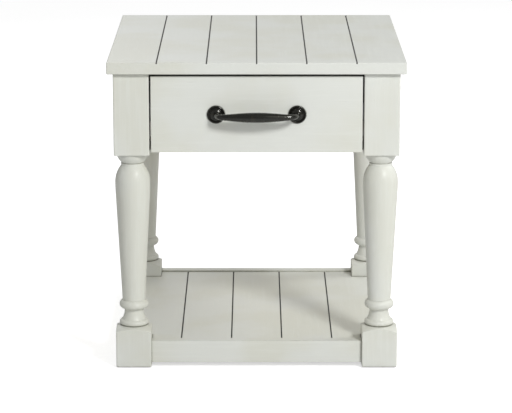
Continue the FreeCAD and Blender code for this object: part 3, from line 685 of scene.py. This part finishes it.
def spun(name, outline, steps=96, crosses=None):
    """A closed solid spun about the Y axis from an outline of (radius, depth) points, pole to pole."""
    shape = bmesh.new()
    rings = []
    crosses = crosses or [0] * len(outline)
    turn = [math.tau * step / steps for step in range(steps)]
    for (radius, depth), cross in zip(outline, crosses):
        if radius == 0:
            rings.append([shape.verts.new((0, depth, 0))] * steps)
            continue
        reaches = [radius * (cross_share(angle) if cross else 1) for angle in turn]
        points = [(r * math.cos(a), depth, r * math.sin(a)) for r, a in zip(reaches, turn)]
        rings.append([shape.verts.new(point) for point in points])
    for inner, outer in zip(rings, rings[1:]):
        for step in range(steps):
            after = (step + 1) % steps
            corners = [inner[step], inner[after], outer[after], outer[step]]
            face = list(dict.fromkeys(corners))
            if len(face) > 2:
                shape.faces.new(face).smooth = True
    bmesh.ops.recalc_face_normals(shape, faces=shape.faces)
    mesh = bpy.data.meshes.new(name)
    shape.to_mesh(mesh)
    shape.free()
    return mesh


def arc(centre, radius, start, end, steps):
    """Points of an arc, its angles in degrees from the outward direction towards the front."""
    angles = [math.radians(start + (end - start) * step / steps) for step in range(steps + 1)]
    return [(centre[0] + radius * math.cos(a), centre[1] - radius * math.sin(a)) for a in angles]


def rosette_outline(radius, thickness):
    """Half an outline: flat back, thin rim, rolled ring, hollow and dome."""
    ease = 0.0004
    rim = 0.0016
    roll = 0.0018
    dome_foot = 0.0032
    dome_radius = radius - 0.0068
    quarter = [math.radians(90 * step / 16) for step in range(16)]
    dome = [
        (dome_radius * math.cos(a) + ease, -dome_foot - (thickness - dome_foot) * math.sin(a))
        for a in quarter
    ]
    return [
        (0, 0),
        (radius - ease, 0),
        (radius, -ease),
        (radius, -rim),
        *arc((radius - roll, -rim), roll, 10, 120, 8),
        *arc((radius - 0.0052, -0.0031), 0.0012, -40, -140, 5),
        *dome,
        (0, -thickness),
    ]


def make_rosette(ending):
    low, high = box(f"pull_rosette_{ending}")
    centre = (low + high) / 2
    radius = (high.x - low.x) / 2
    mesh = spun(f"rosette_{ending}", rosette_outline(radius, high.y - low.y))
    mesh.transform(Matrix.Translation((centre.x, high.y, centre.z)))
    name = f"pull_rosette_{ending}"
    return finish_piece(f"{name}_detail", mesh, bronze_metal, "drawer", name)


for ending in ("left", "right"):
    rosette = make_rosette(ending)
    print(rosette.name, len(rosette.data.polygons), "faces")

# %% [markdown]
# ## The turned legs
#
# A leg starts as a square blank. The lathe takes away all that lies outside an outline, and where the
# outline is wider than the blank the flat sides stay. So at each angle and height the leg reaches to
# the lathe's outline or to the square, whichever is nearer the middle. That rule makes the arched
# shoulder on each face of the foot block without anyone drawing it.
#
# Geometry Nodes can follow the rule for a whole grid of points at once. The outline is a chain of
# points: radius, how far the square's sides are eased, and height. A Mesh Grid has one row for each
# outline point and one column for each angle; Sample Index looks up the row's outline point, and Set
# Position puts the grid's point in place. Merge by Distance then closes the seam and the two poles.

# %% A short way to write geometry trees


class Making:
    """A Geometry Nodes tree with named inputs that ends in Realize Instances and Set Material."""

    def __init__(self, name):
        self.tree = bpy.data.node_groups.new(name, "GeometryNodeTree")
        self.face = self.tree.interface
        self.face.new_socket("Geometry", in_out="INPUT", socket_type="NodeSocketGeometry")
        self.face.new_socket("Geometry", in_out="OUTPUT", socket_type="NodeSocketGeometry")
        self.given = self.tree.nodes.new("NodeGroupInput")
        self.result = self.tree.nodes.new("NodeGroupOutput")

    def ask(self, name, kind="Float"):
        """A named input of the tree."""
        self.face.new_socket(name, in_out="INPUT", socket_type=f"NodeSocket{kind}")
        return self.given.outputs[name]

    def node(self, kind, inputs=(), **settings):
        made = self.tree.nodes.new(kind)
        for key, value in settings.items():
            setattr(made, key, value)
        for key, value in dict(inputs).items():
            socket = made.inputs[key]
            if isinstance(value, bpy.types.NodeSocket):
                self.tree.links.new(value, socket)
            else:
                socket.default_value = value
        return made

    def math(self, operation, a, b=0.0):
        return self.node("ShaderNodeMath", {0: a, 1: b}, operation=operation).outputs[0]

    def end(self, geometry):
        """Turn copies into real mesh, give it its finish and link it to the tree's output."""
        real = self.node("GeometryNodeRealizeInstances", {"Geometry": geometry}).outputs[0]
        inputs = {"Geometry": real, "Material": self.ask("Finish", "Material")}
        dressed = self.node("GeometryNodeSetMaterial", inputs).outputs[0]
        self.tree.links.new(dressed, self.result.inputs["Geometry"])
        return self.tree


def grown(name, tree, start_mesh, inputs):
    """Run a tree on a start mesh with its named inputs and return the result as a plain mesh."""
    holder = new_object(f"{name}_holder", start_mesh)
    modifier = holder.modifiers.new("making", "NODES")
    modifier.node_group = tree
    asked = [item for item in tree.interface.items_tree if item.in_out == "INPUT"]
    identifiers = {item.name: item.identifier for item in asked}
    for key, value in inputs.items():
        modifier[identifiers[key]] = value
    evaluated = holder.evaluated_get(bpy.context.evaluated_depsgraph_get())
    mesh = bpy.data.meshes.new_from_object(evaluated)
    mesh.name = name
    holder.modifiers.remove(modifier)
    bpy.data.objects.remove(holder)
    tidy = bmesh.new()
    tidy.from_mesh(mesh)
    bmesh.ops.recalc_face_normals(tidy, faces=tidy.faces)
    tidy.to_mesh(mesh)
    tidy.free()
    return mesh


# %% [markdown]
# ## The tree that turns a leg
#
# The square is not quite sharp. Its reach at an angle comes from the sum of two high powers, of the
# cosine and the sine, and the higher the power the sharper the corner. The outline's second number
# pulls the square in, which eases the edges at the ends of the blocks.

# %% The tree of a turned leg

SAME_PLACE = 0.00002


def leg_tree():
    """A grid wrapped round a leg: one row for each outline point, one column for each angle."""
    making = Making("turned_leg")
    outline = making.given.outputs["Geometry"]
    half_square = making.ask("Half Square")
    sharpness = making.ask("Corner Sharpness")
    centre = making.ask("Centre", "Vector")
    steps = making.ask("Steps", "Int")
    counted = making.node("GeometryNodeAttributeDomainSize", {"Geometry": outline})
    columns = making.math("ADD", steps, 1)
    sides = {"Vertices X": counted.outputs["Point Count"], "Vertices Y": columns}
    grid = making.node("GeometryNodeMeshGrid", sides).outputs["Mesh"]

    index = making.node("GeometryNodeInputIndex").outputs[0]
    row = making.math("FLOOR", making.math("DIVIDE", making.math("ADD", index, 0.5), columns))
    column = making.math("SUBTRACT", index, making.math("MULTIPLY", row, columns))
    place = making.node("GeometryNodeInputPosition").outputs[0]
    looked_up = making.node(
        "GeometryNodeSampleIndex",
        {"Geometry": outline, "Value": place, "Index": row},
        data_type="FLOAT_VECTOR",
    )
    parts = making.node("ShaderNodeSeparateXYZ", {"Vector": looked_up.outputs[0]})
    radius, eased, height = parts.outputs

    angle = making.math("MULTIPLY", making.math("DIVIDE", column, steps), math.tau)
    cosine = making.math("COSINE", angle)
    sine = making.math("SINE", angle)
    power_x = making.math("POWER", making.math("ABSOLUTE", cosine), sharpness)
    power_y = making.math("POWER", making.math("ABSOLUTE", sine), sharpness)
    root = making.math("DIVIDE", 1.0, sharpness)
    spread = making.math("POWER", making.math("ADD", power_x, power_y), root)
    square = making.math("DIVIDE", making.math("SUBTRACT", half_square, eased), spread)
    reach = making.math("MINIMUM", radius, square)
    x = making.math("MULTIPLY", reach, cosine)
    y = making.math("MULTIPLY", reach, sine)
    local = making.node("ShaderNodeCombineXYZ", {"X": x, "Y": y, "Z": height}).outputs[0]
    final = making.node("ShaderNodeVectorMath", {0: local, 1: centre}, operation="ADD").outputs[0]
    shaped = making.node("GeometryNodeSetPosition", {"Geometry": grid, "Position": final}).outputs[0]
    merging = {"Geometry": shaped, "Distance": SAME_PLACE}
    closed = making.node("GeometryNodeMergeByDistance", merging).outputs[0]
    smoothing = {"Geometry": closed, "Shade Smooth": True}
    return making.end(making.node("GeometryNodeSetShadeSmooth", smoothing).outputs[0])


turned_leg = leg_tree()
print("tree of a leg:", len(turned_leg.nodes), "nodes")

# %% [markdown]
# ## The outline that the lathe follows
#
# From the floor up: the square foot block with its falling shoulder, a torus, a hollow called a
# scotia, a bead, the long vase that swells to its shoulder, a short neck, the bowl of the cup, and
# the square block again. Each curved part is an arc through three points, the way a turner sets it
# out. Where two parts meet at an angle, `crisp` adds a point close on each side, so that smooth
# shading keeps the line between them sharp.
#
# The points are radii and heights. The lower ones are measured up from the top of the foot block,
# and the upper ones down from the block that the rails join, so both ends keep their shape if the
# table's height changes and only the vase grows.

# %% Outline of the leg


def arc_through(start, middle_point, end, steps):
    """Points of the arc from start through a middle point to end, without the start."""
    (x1, z1), (x2, z2), (x3, z3) = start, middle_point, end
    twice = 2 * (x1 * (z2 - z3) + x2 * (z3 - z1) + x3 * (z1 - z2))
    s1, s2, s3 = x1 * x1 + z1 * z1, x2 * x2 + z2 * z2, x3 * x3 + z3 * z3
    cx = (s1 * (z2 - z3) + s2 * (z3 - z1) + s3 * (z1 - z2)) / twice
    cz = (s1 * (x3 - x2) + s2 * (x1 - x3) + s3 * (x2 - x1)) / twice
    a1, a2, a3 = (math.atan2(z - cz, x - cx) for x, z in (start, middle_point, end))
    turn = (a3 - a1) % math.tau
    if (a2 - a1) % math.tau > turn:
        turn -= math.tau
    radius = math.hypot(x1 - cx, z1 - cz)
    angles = [a1 + turn * step / steps for step in range(1, steps + 1)]
    return [(cx + radius * math.cos(a), cz + radius * math.sin(a)) for a in angles]


def crisp(points, reach=0.00018, least_turn=0.35):
    """The same points, with one more on each side of every sharp turn."""
    kept = [points[0]]
    for before, corner, after in zip(points, points[1:], points[2:]):
        into, away = corner - before, after - corner
        if into.length > 2 * reach and away.length > 2 * reach and into.angle(away) > least_turn:
            kept += [corner - into.normalized() * reach, corner, corner + away.normalized() * reach]
        else:
            kept.append(corner)
    return kept + [points[-1]]


# Radius, and height above the top of the foot block.
LOWER_POINTS = {
    "shoulder_middle": (0.0378, -0.0043),
    "torus_foot": (0.026, 0.0),
    "torus_middle": (0.0286, 0.0046),
    "torus_top": (0.0238, 0.011),
    "scotia_middle": (0.01964, 0.02125),
    "scotia_top": (0.0186, 0.0305),
    "bead_foot": (0.0196, 0.0325),
    "bead_middle": (0.0285, 0.0411),
    "bead_top": (0.0224, 0.050),
}
# Radius, and depth below the bottom of the upper block.
UPPER_POINTS = {
    "belly_foot": (0.0331, 0.0831),
    "belly_middle": (0.033775, 0.0701),
    "widest": (0.034, 0.0571),
    "fall_middle": (0.02975, 0.0365),
    "neck_foot": (0.0222, 0.0241),
    "neck_top": (0.0222, 0.0196),
    "cup_foot": (0.021, 0.0186),
    "cup_middle": (0.0278, 0.0103),
    "cup_lip": (0.0308, 0.002),
    "block": (0.031, 0.0),
}
FOOT_BLOCK = 0.080
FOOT_SHOULDER_DROP = 0.012
BLOCK_BELOW_FRONT = 0.007
# How far the square is pulled in, and at what height, where a block's bottom edge is eased.
FOOT_EASING = [(0.002, 0.0), (0.0006, 0.0006), (0.0, 0.002)]
BLOCK_EASING = [(0.0012, 0.0), (0.00035, 0.00035), (0.0, 0.0012)]

leg_low, leg_high = box("leg_front_left")
half_square = (leg_high.x - leg_low.x) / 2
foot = leg_low.z
leg_top = leg_high.z
block_bottom = front_low.z - BLOCK_BELOW_FRONT
foot_block_top = foot + FOOT_BLOCK
clear = half_square * 1.5


def turned_part():
    """Radius and height of the turned part, from the foot block's shoulder to the upper block."""
    at = {key: (radius, foot_block_top + rise) for key, (radius, rise) in LOWER_POINTS.items()}
    for key, (radius, drop) in UPPER_POINTS.items():
        at[key] = (radius, block_bottom - drop)
    shoulder = (clear, foot_block_top - FOOT_SHOULDER_DROP)
    low, high = Vector(at["bead_top"]), Vector(at["belly_foot"])
    points = [shoulder]
    points += arc_through(shoulder, at["shoulder_middle"], at["torus_foot"], 40)
    points += arc_through(at["torus_foot"], at["torus_middle"], at["torus_top"], 14)
    points += arc_through(at["torus_top"], at["scotia_middle"], at["scotia_top"], 14)
    points += [at["bead_foot"]]
    points += arc_through(at["bead_foot"], at["bead_middle"], at["bead_top"], 18)
    points += [tuple(low.lerp(high, share)) for share in (0.25, 0.5, 0.75)]
    points += [at["belly_foot"]]
    points += arc_through(at["belly_foot"], at["belly_middle"], at["widest"], 8)
    points += arc_through(at["widest"], at["fall_middle"], at["neck_foot"], 20)
    points += [at["neck_top"], at["cup_foot"]]
    points += arc_through(at["cup_foot"], at["cup_middle"], at["cup_lip"], 14)
    points += [at["block"]]
    return [Vector((radius, 0.0, height)) for radius, height in points]


def leg_outline():
    """Radius, easing of the square and height of every row, pole to pole."""
    points = [Vector((0, 0, foot))]
    for ease, rise in FOOT_EASING:
        points.append(Vector((clear, ease, foot + rise)))
    points += turned_part()
    for ease, rise in BLOCK_EASING:
        points.append(Vector((clear, ease, block_bottom + rise)))
    return crisp(points + [Vector((clear, 0, leg_top)), Vector((0, 0, leg_top))])


outline_points = leg_outline()
print("rows of the leg:", len(outline_points))

# %% [markdown]
# ## Four legs from one outline
#
# All four legs are turned alike, so the tree runs four times on the same outline and only the centre
# changes. The outline is handed over as a chain of points with edges between them.

# %% Four legs


def outline_mesh(name, points):
    """A chain of points as a mesh, for a tree to read."""
    mesh = bpy.data.meshes.new(name)
    mesh.from_pydata(points, [(n, n + 1) for n in range(len(points) - 1)], [])
    return mesh


LEG_STEPS = 192
CORNER_SHARPNESS = 60.0
for row in ("front", "back"):
    for ending in ("left", "right"):
        name = f"leg_{row}_{ending}"
        centre = middle(name)
        sizes = {
            "Half Square": half_square,
            "Corner Sharpness": CORNER_SHARPNESS,
            "Centre": (centre.x, centre.y, 0.0),
            "Steps": LEG_STEPS,
            "Finish": paint_upright,
        }
        mesh = grown(f"{name}_turned", turned_leg, outline_mesh(name, outline_points), sizes)
        leg = finish_piece(f"{name}_turned", mesh, paint_upright, "table_frame", name)
        print(leg.name, len(leg.data.polygons), "faces")

# %% [markdown]
# ## Screws, one pattern for each kind
#
# The table holds together with about forty screws and bolts. In the model they are plain pins with a
# head, so each kind gets one carefully made screw: a head with a cross for the driver, and a shank
# with rings in the place of a thread. Geometry Nodes put a copy on every place, turned the way that
# screw points. The places are measured from the model's own pins: the wide end of a pin is the head.
#
# To find the pins, the points of a piece are walked from neighbour to neighbour by their numbers, so
# the pins come out in the same order on every run.

# %% Places of the screws


SAME_POINT = 0.000001
END_SHARE = 0.02


def solids_of(name):
    """The points of each separate solid of a piece, from a merged copy of its mesh."""
    copy = bmesh.new()
    copy.from_mesh(nodes[name].data)
    bmesh.ops.remove_doubles(copy, verts=copy.verts, dist=SAME_POINT)
    copy.verts.index_update()
    places = [vertex.co.copy() for vertex in copy.verts]
    linked = [[edge.other_vert(vertex).index for edge in vertex.link_edges] for vertex in copy.verts]
    copy.free()
    seen = [False] * len(places)
    solids = []
    for start in range(len(places)):
        if seen[start]:
            continue
        seen[start] = True
        reached = [start]
        for index in reached:
            for other in linked[index]:
                if not seen[other]:
                    seen[other] = True
                    reached.append(other)
        solids.append([places[index] for index in reached])
    return solids


def direction_of(points):
    """The line that a pin lies along: an axis, or a level diagonal in the corner blocks."""
    spans = Vector([max(p[n] for p in points) - min(p[n] for p in points) for n in range(3)])
    longest = max(range(3), key=lambda n: spans[n])
    as_wide_as_deep = abs(spans.x - spans.y) < 0.01 * spans.x
    if as_wide_as_deep and spans.x > spans.z * 1.5:
        centre = sum(points, Vector()) / len(points)
        return Vector((math.copysign(1, centre.x), math.copysign(1, centre.y), 0)).normalized()
    return Vector([float(n == longest) for n in range(3)])


def pin_facts(points):
    """Head centre, way from head to tip, length, head radius and shank radius of a pin."""
    way = direction_of(points)
    depths = [point.dot(way) for point in points]
    low, high = min(depths), max(depths)
    margin = (high - low) * END_SHARE
    at_low = [point for point, depth in zip(points, depths) if depth < low + margin]
    at_high = [point for point, depth in zip(points, depths) if depth > high - margin]
    ends = []
    for group in (at_low, at_high):
        centre = sum(group, Vector()) / len(group)
        ends.append((max((point - centre).length for point in group), centre))
    if ends[0][0] < ends[1][0]:
        ends.reverse()
        way = -way
    middles = sum(points, Vector()) / len(points)
    line_start = middles + way * (ends[0][1] - middles).dot(way)
    return line_start, way, high - low, ends[0][0], ends[1][0]


for name in nodes:
    if "screws" in name or "bolts" in name:
        facts = [pin_facts(points) for points in solids_of(name)]
        sizes = [round(value * 1000, 1) for value in facts[0][2:]]
        print(name, len(facts), "length, head and shank radius in mm:", sizes)

# %% [markdown]
# ## One screw as a pattern
#
# A screw is turned too: its rings run from the bottom of the cross, over the head, down the thread to
# the point. The rings of the cross are pinched between its arms.

# %% One pattern screw

LEAST_PITCH = 0.0009
SCREW_STEPS = 24


def pattern_screw(name, length, head_radius, shank_radius):
    """A screw with its head's face at zero and its tip along the Y axis."""
    head = head_radius * 0.62
    pitch = max(LEAST_PITCH, shank_radius * 0.55)
    # Each ring: its radius, its depth, and whether it is pinched into a cross.
    rings = [
        (0, head * 0.75, 0),
        (head_radius * 0.42, head * 0.7, 1),
        (head_radius * 0.62, 0.0, 1),
        (head_radius * 0.72, 0.0, 0),
        (head_radius * 0.94, head * 0.06, 0),
        (head_radius, head * 0.2, 0),
        (shank_radius, head, 0),
    ]
    depth = head + pitch
    while depth + pitch < length - shank_radius:
        rings += [(shank_radius * 0.8, depth, 0), (shank_radius, depth + pitch * 0.35, 0)]
        depth += pitch
    rings += [(shank_radius * 0.78, length - shank_radius * 0.8, 0), (0, length, 0)]
    outline = [(radius, depth) for radius, depth, _ in rings]
    return spun(name, outline, SCREW_STEPS, [cross for _, _, cross in rings])


# %% [markdown]
# ## Screws in their places
#
# The tree reads each place's way from a named attribute, turns the pattern's Y axis to it and puts a
# copy there. It runs once for each kind of screw.

# %% The tree that sets screws in their places


def screws_tree():
    """A copy of the pattern on every point, turned the way that the point says."""
    making = Making("screws_in_place")
    pattern = making.node("GeometryNodeObjectInfo", {"Object": making.ask("Pattern", "Object")})
    named = {"Name": "way"}
    read = making.node("GeometryNodeInputNamedAttribute", named, data_type="FLOAT_VECTOR")
    way = read.outputs[0]
    turned = making.node("FunctionNodeAlignRotationToVector", {"Vector": way}, axis="Y").outputs[0]
    given = {"Mesh": making.given.outputs["Geometry"]}
    points = making.node("GeometryNodeMeshToPoints", given).outputs[0]
    inputs = {"Points": points, "Instance": pattern.outputs["Geometry"], "Rotation": turned}
    return making.end(making.node("GeometryNodeInstanceOnPoints", inputs).outputs[0])


screws_in_place = screws_tree()


def make_screws(name, body):
    """All screws of one kind as one piece."""
    facts = [pin_facts(points) for points in solids_of(name)]
    places = bpy.data.meshes.new(f"{name}_places")
    places.from_pydata([fact[0] for fact in facts], [], [])
    ways = places.attributes.new("way", "FLOAT_VECTOR", "POINT")
    for place, fact in zip(ways.data, facts):
        place.vector = fact[1]
    pattern = new_object(f"{name}_pattern", pattern_screw(f"{name}_one", *facts[0][2:]))
    inputs = {"Pattern": pattern, "Finish": zinc_metal}
    mesh = grown(f"{name}_cut", screws_in_place, places, inputs)
    bpy.data.objects.remove(pattern)
    return finish_piece(f"{name}_cut", mesh, zinc_metal, body, name)


SCREWS = {
    "tabletop_screws": "table_frame",
    "shelf_screws": "table_frame",
    "corner_block_bolts": "table_frame",
    "slide_screws_case": "table_frame",
    "slide_screws_drawer": "drawer",
    "drawer_front_screws": "drawer",
    "pull_screws": "drawer",
}
for name, body in SCREWS.items():
    screws = make_screws(name, body)
    print(screws.name, len(screws.data.polygons), "faces")
